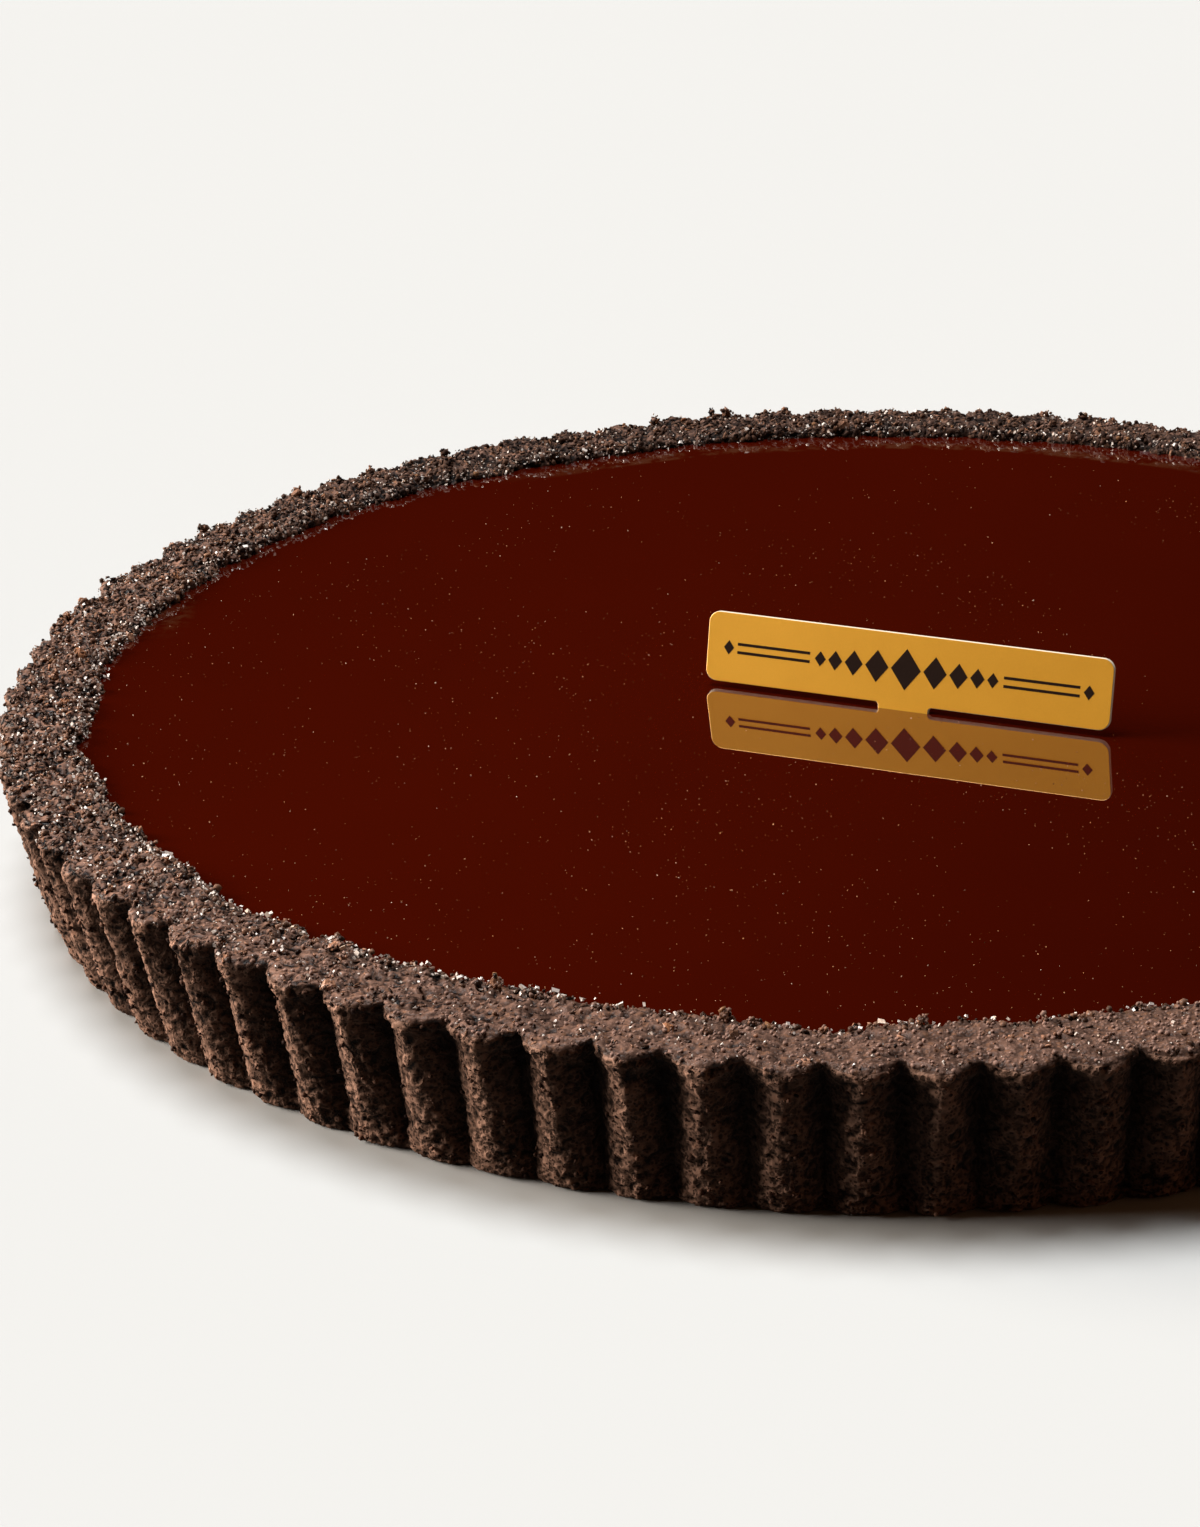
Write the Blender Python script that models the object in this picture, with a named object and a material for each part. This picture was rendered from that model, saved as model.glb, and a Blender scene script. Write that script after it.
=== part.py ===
"""A chocolate tart: a fluted cocoa crumb crust, a glossy chocolate filling and a small gold plaque.

The tart's axis is +Z. It stands on z = 0, with the origin at the centre of its foot, and its
front is towards -Y. Sizes are in metres.
"""

import math

import bmesh
import bpy
from mathutils import Vector

# The crust. Radii are to the crests of the flutes, and the widest is just below the rim.
TART_RADIUS = 0.1154
FOOT_RADIUS = 0.1109
TART_HEIGHT = 0.0202
FLUTES = 84
FLUTE_SAMPLES = 6
FOOT_FLUTE_DEPTH = 0.0012
FLUTE_DEPTH = 0.0030
RIM_FLUTE_DEPTH = 0.0014
DEEPEST_FLUTE = 0.0170
FIRST_GROOVE = math.radians(-135.663)
FOOT_ROUND = 0.0009
SHOULDER_ROUND = 0.0014
CROWN_DROP = 0.0002

# The inside of the crust, which the filling takes up.
RIM_INNER_RADIUS = 0.1030
INNER_TAPER = 0.0026
LIP_ROUND = 0.0009
BASE_THICKNESS = 0.0042
INNER_SAMPLES = 168

# The filling.
GLAZE_DROP = 0.0011
FILLING_EDGE_ROUND = 0.0004
GAP = 0.0003

# The plaque: its own sizes, then where it stands on the glaze.
PLAQUE_WIDTH = 0.0549
PLAQUE_HEIGHT = 0.0092
PLAQUE_THICKNESS = 0.0007
PLAQUE_CORNER = 0.0015
PLAQUE_LIFT = 0.0008
TAB_WIDTH = 0.0068
TAB_DEPTH = 0.0060
TAB_SHOULDER = 0.0005
PLAQUE_PLACE = (0.0036, -0.0116)
PLAQUE_TURN = math.radians(-19.6)
PLAQUE_LEAN = math.radians(-13.1)

SHOULDER_START = TART_HEIGHT - SHOULDER_ROUND
GLAZE_LEVEL = TART_HEIGHT - GLAZE_DROP

CRUST_COLOUR = (0.095, 0.058, 0.042, 1.0)
FILLING_COLOUR = (0.045, 0.006, 0.002, 1.0)
GOLD_COLOUR = (0.57, 0.27, 0.035, 1.0)


def clear_scene():
    for item in list(bpy.data.objects):
        bpy.data.objects.remove(item, do_unlink=True)


def make_material(name, colour, roughness, metallic=0.0):
    material = bpy.data.materials.new(name)
    material.use_nodes = True
    shader = material.node_tree.nodes["Principled BSDF"]
    shader.inputs["Base Color"].default_value = colour
    shader.inputs["Roughness"].default_value = roughness
    shader.inputs["Metallic"].default_value = metallic
    return material


def make_object(name, bm, material, smooth_angle=math.radians(40)):
    """Turns a bmesh into a linked object that is smooth but for its sharp edges."""
    bmesh.ops.recalc_face_normals(bm, faces=bm.faces)
    mesh = bpy.data.meshes.new(name)
    bm.to_mesh(mesh)
    bm.free()
    mesh.shade_smooth()
    mesh.set_sharp_from_angle(angle=smooth_angle)
    mesh.materials.append(material)
    item = bpy.data.objects.new(name, mesh)
    bpy.context.collection.objects.link(item)
    return item


def wall_radius(z):
    """The radius of the flutes' crests on the tapering wall."""
    return FOOT_RADIUS + (TART_RADIUS - FOOT_RADIUS) * z / SHOULDER_START


def inner_radius(z):
    """The radius of the crust's tapering inner wall."""
    drop = (TART_HEIGHT - z) / (TART_HEIGHT - BASE_THICKNESS)
    return RIM_INNER_RADIUS - INNER_TAPER * drop


def fluted_ring(bm, radius, z, depth):
    """A ring of round lobes that meet in narrow grooves of the given depth."""
    ring = []
    for i in range(FLUTES * FLUTE_SAMPLES):
        share = (i % FLUTE_SAMPLES) / FLUTE_SAMPLES
        from_crest = abs(2 * share - 1)
        angle = FIRST_GROOVE + math.tau * i / (FLUTES * FLUTE_SAMPLES)
        reach = radius - depth * from_crest**2
        ring.append(bm.verts.new((reach * math.cos(angle), reach * math.sin(angle), z)))
    return ring


def round_ring(bm, radius, z):
    ring = []
    for i in range(INNER_SAMPLES):
        angle = FIRST_GROOVE + math.tau * i / INNER_SAMPLES
        ring.append(bm.verts.new((radius * math.cos(angle), radius * math.sin(angle), z)))
    return ring


def join_equal(bm, first, second):
    """Quads between two rings of the same count."""
    count = len(first)
    for i in range(count):
        j = (i + 1) % count
        bm.faces.new((first[i], first[j], second[j], second[i]))


def join_unequal(bm, fine, coarse):
    """Triangles between a ring and one with a third as many points."""
    count = len(coarse)
    for j in range(count):
        a, b, c, d = (fine[(3 * j + k) % len(fine)] for k in range(4))
        near, far = coarse[j], coarse[(j + 1) % count]
        for corners in ((a, b, near), (b, far, near), (b, c, far), (c, d, far)):
            bm.faces.new(corners)


def make_crust():
    """A shell of pressed crumb with a closed floor, whose flutes are deepest under its rim."""
    bm = bmesh.new()
    shoulder_turn = SHOULDER_ROUND * (1 - math.sqrt(0.5))
    shoulder = TART_RADIUS - shoulder_turn
    shoulder_level = TART_HEIGHT - shoulder_turn
    crown = TART_RADIUS - SHOULDER_ROUND
    outside = [
        fluted_ring(bm, FOOT_RADIUS - FOOT_ROUND, 0.0, FOOT_FLUTE_DEPTH),
        fluted_ring(bm, wall_radius(FOOT_ROUND), FOOT_ROUND, FOOT_FLUTE_DEPTH),
        fluted_ring(bm, wall_radius(DEEPEST_FLUTE), DEEPEST_FLUTE, FLUTE_DEPTH),
        fluted_ring(bm, TART_RADIUS, SHOULDER_START, RIM_FLUTE_DEPTH),
        fluted_ring(bm, shoulder, shoulder_level, RIM_FLUTE_DEPTH),
        fluted_ring(bm, crown, TART_HEIGHT - CROWN_DROP, RIM_FLUTE_DEPTH),
    ]
    rim_middle = (TART_RADIUS + RIM_INNER_RADIUS) / 2
    lip_bottom = TART_HEIGHT - LIP_ROUND
    inside = [
        round_ring(bm, rim_middle, TART_HEIGHT),
        round_ring(bm, RIM_INNER_RADIUS + LIP_ROUND, TART_HEIGHT - CROWN_DROP),
        round_ring(bm, inner_radius(lip_bottom), lip_bottom),
        round_ring(bm, inner_radius(BASE_THICKNESS), BASE_THICKNESS),
    ]
    for below, above in zip(outside, outside[1:]):
        join_equal(bm, below, above)
    join_unequal(bm, outside[-1], inside[0])
    for above, below in zip(inside, inside[1:]):
        join_equal(bm, above, below)
    bm.faces.new(outside[0])
    bm.faces.new(inside[-1])
    return make_object("crust", bm, make_material("cocoa_crumb", CRUST_COLOUR, 0.85))


def make_slot_cutter():
    """The space that the plaque's tab takes up in the filling, with a gap on every side."""
    bm = bmesh.new()
    bmesh.ops.create_cube(bm, size=1.0)
    height = TAB_DEPTH + GAP + PLAQUE_LIFT
    size = (TAB_WIDTH + 2 * GAP, PLAQUE_THICKNESS + 2 * GAP, height)
    bmesh.ops.scale(bm, vec=size, verts=bm.verts)
    centre = (0.0, PLAQUE_THICKNESS / 2, PLAQUE_LIFT - height / 2)
    bmesh.ops.translate(bm, vec=centre, verts=bm.verts)
    cutter = make_object("slot_cutter", bm, make_material("cutter", GOLD_COLOUR, 0.5))
    cutter.hide_render = True
    cutter.display_type = "WIRE"
    return cutter


def make_filling():
    """Set chocolate that fills the crust to just under the rim, slotted for the plaque."""
    bm = bmesh.new()
    bottom = BASE_THICKNESS + GAP
    side = GLAZE_LEVEL - FILLING_EDGE_ROUND
    rings = [
        round_ring(bm, inner_radius(bottom) - GAP, bottom),
        round_ring(bm, inner_radius(side) - GAP, side),
        round_ring(bm, inner_radius(side) - GAP - FILLING_EDGE_ROUND, GLAZE_LEVEL),
    ]
    for below, above in zip(rings, rings[1:]):
        join_equal(bm, below, above)
    bm.faces.new(rings[0])
    bm.faces.new(rings[-1])
    filling = make_object("filling", bm, make_material("dark_chocolate", FILLING_COLOUR, 0.08))
    slot = filling.modifiers.new("slot", "BOOLEAN")
    slot.operation = "DIFFERENCE"
    slot.solver = "EXACT"
    slot.object = stand_on_glaze(make_slot_cutter())
    return filling


def arc(centre, radius, start, turn, steps):
    """Points on an arc in the plaque's own plane, from one end to the other."""
    points = []
    for i in range(steps + 1):
        angle = math.radians(start + turn * i / steps)
        x = centre[0] + radius * math.cos(angle)
        z = centre[1] + radius * math.sin(angle)
        points.append((x, z))
    return points


def plaque_outline():
    """The plate with its four round corners, and the tab below its middle, anticlockwise."""
    half, corner = PLAQUE_WIDTH / 2, PLAQUE_CORNER
    bottom, top = PLAQUE_LIFT, PLAQUE_LIFT + PLAQUE_HEIGHT
    tab, fillet = TAB_WIDTH / 2, TAB_SHOULDER
    low = bottom - fillet
    points = []
    points += arc((-tab - fillet, low), fillet, 90, -90, 3)
    points += arc((-tab + fillet, fillet - TAB_DEPTH), fillet, 180, 90, 3)
    points += arc((tab - fillet, fillet - TAB_DEPTH), fillet, 270, 90, 3)
    points += arc((tab + fillet, low), fillet, 180, -90, 3)
    points += arc((half - corner, bottom + corner), corner, 270, 90, 6)
    points += arc((half - corner, top - corner), corner, 0, 90, 6)
    points += arc((corner - half, top - corner), corner, 90, 90, 6)
    points += arc((corner - half, bottom + corner), corner, 180, 90, 6)
    return points


def stand_on_glaze(item):
    """Turns and leans a piece as the plaque, with its own origin on the glaze."""
    item.location = (*PLAQUE_PLACE, GLAZE_LEVEL)
    item.rotation_euler = (PLAQUE_LEAN, 0.0, PLAQUE_TURN)
    return item


def make_plaque():
    """A thin gold plate whose tab goes down into the filling."""
    bm = bmesh.new()
    front = bm.faces.new([bm.verts.new((x, 0.0, z)) for x, z in plaque_outline()])
    grown = bmesh.ops.extrude_face_region(bm, geom=[front])
    back = [v for v in grown["geom"] if isinstance(v, bmesh.types.BMVert)]
    bmesh.ops.translate(bm, vec=Vector((0.0, PLAQUE_THICKNESS, 0.0)), verts=back)
    gold = make_material("gold", GOLD_COLOUR, 0.4, metallic=0.6)
    return stand_on_glaze(make_object("plaque", bm, gold))


clear_scene()
make_crust()
make_filling()
make_plaque()
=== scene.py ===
"""Dresses the chocolate tart: a crumb crust, a mirror-gloss filling and a small gold plaque.

Everything is in metres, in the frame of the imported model: the tart stands on z = 0 with its
axis on +Z, and its front is towards -Y. Angles round the tart are measured from +X towards +Y.
"""

from __future__ import annotations

import logging
import math
from dataclasses import dataclass, field
from enum import Enum, IntEnum
from typing import Callable, Sequence, Union

import bmesh
import bpy
import numpy as np
from mathutils import Euler, Matrix, Vector, noise


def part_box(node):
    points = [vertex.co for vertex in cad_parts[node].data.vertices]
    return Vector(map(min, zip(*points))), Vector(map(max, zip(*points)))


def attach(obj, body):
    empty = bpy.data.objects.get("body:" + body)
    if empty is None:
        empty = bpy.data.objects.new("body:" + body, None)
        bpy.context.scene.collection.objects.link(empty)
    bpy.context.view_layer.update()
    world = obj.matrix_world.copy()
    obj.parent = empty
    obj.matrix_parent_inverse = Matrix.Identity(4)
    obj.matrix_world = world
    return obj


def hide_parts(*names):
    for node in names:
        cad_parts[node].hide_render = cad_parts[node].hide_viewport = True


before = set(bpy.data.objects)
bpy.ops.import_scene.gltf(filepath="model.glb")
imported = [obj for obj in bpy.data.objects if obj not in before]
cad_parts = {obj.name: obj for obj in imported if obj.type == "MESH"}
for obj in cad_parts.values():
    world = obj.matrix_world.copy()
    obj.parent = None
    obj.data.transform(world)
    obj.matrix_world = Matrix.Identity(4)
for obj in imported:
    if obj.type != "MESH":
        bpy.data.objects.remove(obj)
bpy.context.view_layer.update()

log = logging.getLogger("tart")

Colour = tuple[float, float, float]
Span = tuple[float, float]

MM = 0.001
# Where along Y the rim's crumb starts and ends being painted darker towards the back, as painted
# shade.
BACK_SHADE_SPAN: Span = (0.03, 0.10)


# ---- shader tools


def operator_of(operation: str, swapped: bool = False) -> Callable[["Wire", "Term"], "Wire"]:
    """Makes the method of one operator, or of its reflected form.

    Args:
        operation: The Math node's operation.
        swapped: Whether the wire comes second, as in 1 - wire.

    Returns:
        The method.
    """

    def method(self: "Wire", other: "Term") -> "Wire":
        """Adds the operator's node."""
        return self.combined(operation, *((other, self) if swapped else (self, other)))

    return method


class Wire:
    """One output socket of a node tree, which takes part in sums like a number."""

    def __init__(self, tree: bpy.types.NodeTree, socket: bpy.types.NodeSocket) -> None:
        """Keeps the socket and the tree it belongs to."""
        self.tree = tree
        self.socket = socket

    def combined(self, operation: str, *terms: "Term", clamp: bool = False) -> "Wire":
        """Adds one Math node.

        Args:
            operation: The node's operation.
            terms: The node's inputs in order, numbers or wires.
            clamp: Whether the result is kept between 0 and 1.

        Returns:
            The node's result.
        """
        node = self.tree.nodes.new("ShaderNodeMath")
        node.operation = operation
        node.use_clamp = clamp
        for slot, term in zip(node.inputs, terms):
            feed(self.tree, slot, term)
        return Wire(self.tree, node.outputs[0])

    __add__, __radd__ = operator_of("ADD"), operator_of("ADD", True)
    __sub__, __rsub__ = operator_of("SUBTRACT"), operator_of("SUBTRACT", True)
    __mul__, __rmul__ = operator_of("MULTIPLY"), operator_of("MULTIPLY", True)
    __truediv__, __pow__ = operator_of("DIVIDE"), operator_of("POWER")

    def __abs__(self) -> "Wire":
        """The value without its sign."""
        return self.combined("ABSOLUTE", self)

    def clamped(self) -> "Wire":
        """The value kept between 0 and 1."""
        return self.combined("ADD", self, 0.0, clamp=True)

    def folded(self) -> "Wire":
        """The value as a zigzag between 0 and 1, back at 0 for each whole number."""
        return self.combined("PINGPONG", self, 0.5) * 2

    def ramp(self, low: float, high: float) -> "Wire":
        """0 at low and 1 at high, smooth between them; low may be above high."""
        scaled = (self - low) / (high - low)
        node = self.tree.nodes.new("ShaderNodeMapRange")
        node.interpolation_type = "SMOOTHSTEP"
        feed(self.tree, node.inputs["Value"], scaled)
        return Wire(self.tree, node.outputs["Result"])


Term = Union[Wire, float, Sequence[float]]


def feed(tree: bpy.types.NodeTree, slot: bpy.types.NodeSocket, term: Term) -> None:
    """Links a wire to a socket, or sets the socket to a value.

    Args:
        tree: The node tree.
        slot: The input socket.
        term: A wire, a number, or a colour or vector. A colour of three gets an alpha of 1.
    """
    if isinstance(term, Wire):
        tree.links.new(term.socket, slot)
    elif isinstance(term, (int, float)):
        slot.default_value = term
    else:
        wanted = len(slot.default_value)
        slot.default_value = tuple(term) + (1.0,) * (wanted - len(term))


class Nodes:
    """A node tree that was emptied, and the ways nodes are added to it."""

    def __init__(self, owner: bpy.types.ID) -> None:
        """Empties the tree of a material or a world."""
        owner.use_nodes = True
        self.tree = owner.node_tree
        self.tree.nodes.clear()

    def node(
        self,
        kind: str,
        out: str | None = None,
        settings: dict[str, object] | None = None,
        **sockets: Term,
    ) -> Wire | None:
        """Adds any node.

        Args:
            kind: The node's type.
            out: The name of the output that is returned, the first one if none is named.
            settings: What is set on the node before its sockets.
            sockets: Values or wires by input name, with _ for a space. A and B of a Mix node
                are those of its data type.

        Returns:
            The output asked for, if the node has any.
        """
        node = self.tree.nodes.new(kind)
        for key, value in (settings or {}).items():
            setattr(node, key, value)
        for key, term in sockets.items():
            name = key.replace("_", " ")
            feed(self.tree, [s for s in node.inputs if s.name == name and s.enabled][0], term)
        found = [s for s in node.outputs if s.enabled and out in (None, s.name)]
        return Wire(self.tree, found[0]) if found else None

    def mix(self, share: Term, first: Term, second: Term) -> Wire:
        """A colour between two others.

        Args:
            share: 0 for the first and 1 for the second.
            first: A colour or wire.
            second: A colour or wire.

        Returns:
            The mixed colour.
        """
        colours = {"data_type": "RGBA"}
        return self.node("ShaderNodeMix", "Result", colours, Factor=share, A=first, B=second)

    def axis(self, letter: str, vector: Wire) -> Wire:
        """One axis of a vector, by its letter."""
        return self.node("ShaderNodeSeparateXYZ", letter, Vector=vector)


class Paint(Nodes):
    """A new material whose patterns lie fixed in the piece."""

    def __init__(self, name: str) -> None:
        """Makes the material, still empty."""
        self.material = bpy.data.materials.new(name)
        super().__init__(self.material)
        self.place = self.node("ShaderNodeTexCoord", out="Object")

    def grain(self, size: float, detail: float = 3.0, rough: float = 0.6) -> Wire:
        """Cloudy noise between 0 and 1, whose blotches are about size across."""
        sockets = {"Vector": self.place, "Scale": 1 / size, "Detail": detail, "Roughness": rough}
        return self.node("ShaderNodeTexNoise", "Fac", **sockets)

    def cells(self, size: float, out: str = "Distance") -> Wire:
        """Distances to, or colours of, scattered points that lie about size apart."""
        return self.node("ShaderNodeTexVoronoi", out, Vector=self.place, Scale=1 / size)

    def chances(self, size: float) -> Wire:
        """A random number between 0 and 1 for the cell of each such point."""
        return self.node("ShaderNodeSeparateColor", Color=self.cells(size, "Color"))

    def worms(self, size: float) -> Wire:
        """Crooked ridges that run side by side: 1 along each and 0 between, about size apart."""
        return (self.grain(4 * size, 0.0) * 4).folded()

    def back_shade(self, where: Span = BACK_SHADE_SPAN) -> Wire:
        """How much darker the crumb is painted towards the back, as painted shade, from where to
        where.
        """
        return 0.5 * self.axis("Y", self.place).ramp(*where)

    def stored(self, name: str) -> Wire:
        """A number that the mesh holds at each of its points."""
        return self.node("ShaderNodeAttribute", "Fac", {"attribute_name": name})

    def bump(self, height: Wire, depth: float, strength: float) -> Wire:
        """A normal from a height between 0 and 1 that stands for depth metres."""
        return self.node("ShaderNodeBump", Strength=strength, Distance=depth, Height=height)

    def finish(self, **sockets: Term) -> bpy.types.Material:
        """Adds the Principled shader with these sockets, and the output.

        Args:
            sockets: Values or wires by input name, with _ for a space.

        Returns:
            The finished material.
        """
        shader = self.node("ShaderNodeBsdfPrincipled", "BSDF", **sockets)
        self.node("ShaderNodeOutputMaterial", Surface=shader)
        return self.material


# ---- finishes


@dataclass(frozen=True)
class CrumbFinish:
    """Dry pressed cocoa crumb: round beads where it is smooth, pits and crooked grains where not,
    with painted shade in its low points, pits and grooves.

    Attributes:
        cell: The size of a bead or a small pit.
        pits: The share of its cells that are open pits.
        squiggly: How strong its crooked ridges are.
        floor: The shade at which a hollow is painted the dark colour, as painted shade.
        contrast: How fast the shade rises above that.
        shaded_back: Between which places towards the back it is painted darker, as painted shade.
        ridge: How far apart its crooked ridges lie.
        grit: The size of its finest grains.
        blotch: The size of its paler and darker patches.
        depth: How deep its finest relief is.
    """

    name: str
    light: Colour
    dark: Colour
    rust: Colour
    gloss: float
    roughness: float
    cell: float
    pits: float
    squiggly: float
    floor: float
    contrast: float
    shaded_back: Span = BACK_SHADE_SPAN
    ridge: float = 0.5 * MM
    grit: float = 0.22 * MM
    blotch: float = 5.0 * MM
    depth: float = 0.25 * MM

    def build(self) -> bpy.types.Material:
        """A material that reads how far each point of the crust stands out of its pits, and paints
        low points, pits and grooves darker as painted shade.
        """
        paint = Paint(self.name)
        height, coarse = paint.stored("height"), paint.stored("coarse")
        smooth = 1 - coarse
        cell, random = paint.cells(self.cell), paint.chances(self.cell)
        wide, picked = paint.cells(2 * self.cell), paint.chances(2 * self.cell)
        wide_pits = 0.6 * self.pits
        small_pit = cell.ramp(0.50, 0.30) * random.ramp(1 - self.pits, 1.05 - self.pits)
        wide_pit = wide.ramp(0.42, 0.28) * picked.ramp(1 - wide_pits, 1.05 - wide_pits)
        pit = (small_pit + wide_pit).clamped()
        ridge = paint.worms(self.ridge)
        fine = paint.grain(self.grit, 2.0)
        broad = paint.grain(self.blotch, 3.0)
        # Painted highlight and shade: each bead is lighter at its middle and darker at its edge; it
        # also raises the bump.
        bead = cell.ramp(0.62, 0.12)
        # Painted shade: the lower a point lies, the darker it is.
        shade = (0.3 + 0.4 * coarse) * height + 0.4 * broad + (0.15 + 0.25 * coarse) * fine
        shade = shade + 0.15 * random + 0.35 * smooth * bead
        shade = shade + self.squiggly * (ridge - 0.5) * coarse
        shade = (shade - self.floor + 0.42 * smooth) * (1 - 0.5 * smooth) * self.contrast
        # Painted shade: open pits and the grooves between the flutes are darkened.
        shade = shade * (1 - (0.05 + 0.9 * coarse) * pit) * (1 - 0.8 * paint.stored("groove"))
        # Painted shade: darker towards the back; it also turns rougher there.
        back_shade = paint.back_shade(self.shaded_back)
        colour = paint.mix((shade * (1 - back_shade)).clamped(), self.dark, self.light)
        colour = paint.mix((random.ramp(0.90, 0.93) * 0.6 * shade).clamped(), colour, self.rust)
        relief = self.squiggly * ridge * coarse + 0.5 * (1 - coarse * pit) + 0.2 * fine
        relief = relief + 0.4 * smooth * bead
        return paint.finish(
            Base_Color=colour,
            Roughness=self.roughness + back_shade * 0.5,
            Specular_IOR_Level=self.gloss,
            Normal=paint.bump(relief, self.depth, 1.0),
        )


@dataclass(frozen=True)
class GrainFinish:
    """Loose grains, each of its own tone, painted darker as painted shade where it lies in a
    hollow, and a few of a warmer colour.

    Attributes:
        shaded_back: Whether they are painted darker towards the back as painted shade, as the rim
            is.
        grit: The size of the mottling on a grain.
    """

    name: str
    dark: Colour
    light: Colour
    rust: Colour
    roughness: float = 0.5
    gloss: float = 0.5
    shaded_back: bool = True
    grit: float = 0.16 * MM

    def build(self) -> bpy.types.Material:
        """A material that reads the tone of each grain."""
        paint = Paint(self.name)
        tone = paint.stored("tone")
        fine = paint.grain(self.grit, 2.0)
        share = tone**1.6
        # Painted shade: darker towards the back, as the rim is.
        if self.shaded_back:
            share = share * (1 - paint.back_shade())
        colour = paint.mix(share, self.dark, self.light)
        colour = paint.mix(tone.ramp(0.93, 0.95) * 0.8, colour, self.rust)
        colour = paint.mix(fine.ramp(0.62, 0.40) * 0.55, colour, self.dark)
        return paint.finish(
            Base_Color=colour,
            Roughness=self.roughness + (paint.back_shade() if self.shaded_back else 0.0),
            Specular_IOR_Level=self.gloss,
            Normal=paint.bump(fine, 0.05 * MM, 0.6),
        )


@dataclass(frozen=True)
class ChocolateFinish:
    """Set chocolate, flat and glossy as a mirror, with a pale film in places at its edge, which at
    the back is painted reflection of the rim's crumb.

    Attributes:
        film_starts: Between which radii the film comes in.
        film_ends: Between which radii it goes again, the farther first.
    """

    name: str = "dark_chocolate"
    body: Colour = (0.056, 0.0031, 0.0002)
    film_and_reflection: Colour = (0.105, 0.040, 0.016)
    bloom_and_reflection: Colour = (0.13, 0.105, 0.090)
    film_starts: Span = (0.0968, 0.0976)
    film_ends: Span = (0.1006, 0.0996)

    def build(self) -> bpy.types.Material:
        """The filling's material."""
        paint = Paint(self.name)
        x, y = paint.axis("X", paint.place), paint.axis("Y", paint.place)
        wander = (paint.grain(22 * MM, 2.0) - 0.5) * 3.0 * MM
        radius = (x * x + y * y) ** 0.5 + wander
        # Painted reflection: the band of film at the back stands for the rim's crumb mirrored in
        # the chocolate, and its pale spots for mirrored sugar crystals.
        ring = radius.ramp(*self.film_starts) * radius.ramp(*self.film_ends)
        behind = y.ramp(0.080, 0.092)
        left = (1 - abs(y - 0.024) * 110).clamped() * x.ramp(-0.094, -0.097)
        blotch = paint.grain(3.5 * MM, 4.0, 0.7)
        film_and_reflection = (ring * behind * blotch.ramp(0.42, 0.60) + left * blotch.ramp(0.45, 0.6)).clamped()
        patches = paint.grain(9 * MM, 1.0).ramp(0.5, 0.6)
        spots = paint.grain(1.6 * MM, 1.0).ramp(0.58, 0.66) * patches
        cloud = paint.grain(45 * MM, 2.0)
        # Painted shade: the body is darker towards the right and the front, over slow random
        # clouding.
        mottle_and_side_shade = 0.3 * cloud + 0.7 * (x - 0.6 * y).ramp(-0.05, 0.12)
        body = paint.mix(mottle_and_side_shade, self.body, tuple(c * 0.55 for c in self.body))
        colour = paint.mix(film_and_reflection * 0.38, body, self.film_and_reflection)
        colour = paint.mix(film_and_reflection * spots * 0.4, colour, self.bloom_and_reflection)
        ripple = paint.grain(14 * MM, 2.0)
        return paint.finish(
            Base_Color=colour,
            Roughness=0.02 + film_and_reflection * 0.15,
            IOR=2.2,
            Coat_Weight=1.0,
            Coat_IOR=2.3,
            Coat_Roughness=0.012,
            Normal=paint.bump(ripple, 0.02 * MM, 0.2),
        )


@dataclass(frozen=True)
class GoldFinish:
    """Satin gold foil on card, painted lighter towards its left end as painted light."""

    name: str = "gold"
    colour: Colour = (0.90, 0.455, 0.041)
    deep: Colour = (0.62, 0.293, 0.016)

    def build(self) -> bpy.types.Material:
        """The plaque's face and back."""
        paint = Paint(self.name)
        cloud = paint.grain(9 * MM, 3.0)
        grit = paint.grain(0.22 * MM, 2.0)
        # Painted light: the gold is lighter towards the card's left end.
        painted_left_light = paint.axis("X", paint.place).ramp(0.030, -0.020)
        share = 0.4 * cloud + 0.25 * grit + 0.45 * painted_left_light
        colour = paint.mix(share.clamped(), self.deep, self.colour)
        return paint.finish(
            Base_Color=colour,
            Metallic=0.45,
            Roughness=0.36 + 0.12 * grit,
            Normal=paint.bump(grit, 0.02 * MM, 0.35),
        )


@dataclass(frozen=True)
class PlainFinish:
    """A matt or satin finish of nearly one colour, such as ink or a card's cut edge."""

    name: str
    colour: Colour
    other: Colour
    roughness: float = 0.5
    gloss: float = 0.5
    grain: float = 0.4 * MM

    def build(self) -> bpy.types.Material:
        """A material that wavers between its two colours."""
        paint = Paint(self.name)
        mottle = paint.grain(self.grain, 2.0)
        return paint.finish(
            Base_Color=paint.mix(mottle, self.colour, self.other),
            Roughness=self.roughness,
            Specular_IOR_Level=self.gloss,
            Normal=paint.bump(mottle, 0.02 * MM, 0.2),
        )


# Painted light: the wall's crumb is given a paler colour than the rim's, so that faces which the
# lamps only graze still read lit.
WALL_CRUMB = CrumbFinish(
    name="crumb_wall",
    light=(0.560, 0.325, 0.232),
    dark=(0.002, 0.0006, 0.0002),
    rust=(0.13, 0.046, 0.018),
    gloss=0.04,
    roughness=0.7,
    cell=0.45 * MM,
    pits=0.85,
    squiggly=0.45,
    floor=0.46,
    contrast=1.3,
    # Painted shade: the wall is painted darker from just in front of its middle towards the back.
    shaded_back=(-0.03, 0.04),
)
RIM_CRUMB = CrumbFinish(
    name="crumb_rim",
    light=(0.248, 0.139, 0.100),
    dark=(0.004, 0.0016, 0.0010),
    rust=(0.22, 0.095, 0.040),
    gloss=0.08,
    roughness=0.35,
    cell=0.5 * MM,
    pits=0.35,
    squiggly=0.6,
    floor=0.54,
    contrast=1.4,
)
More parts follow.
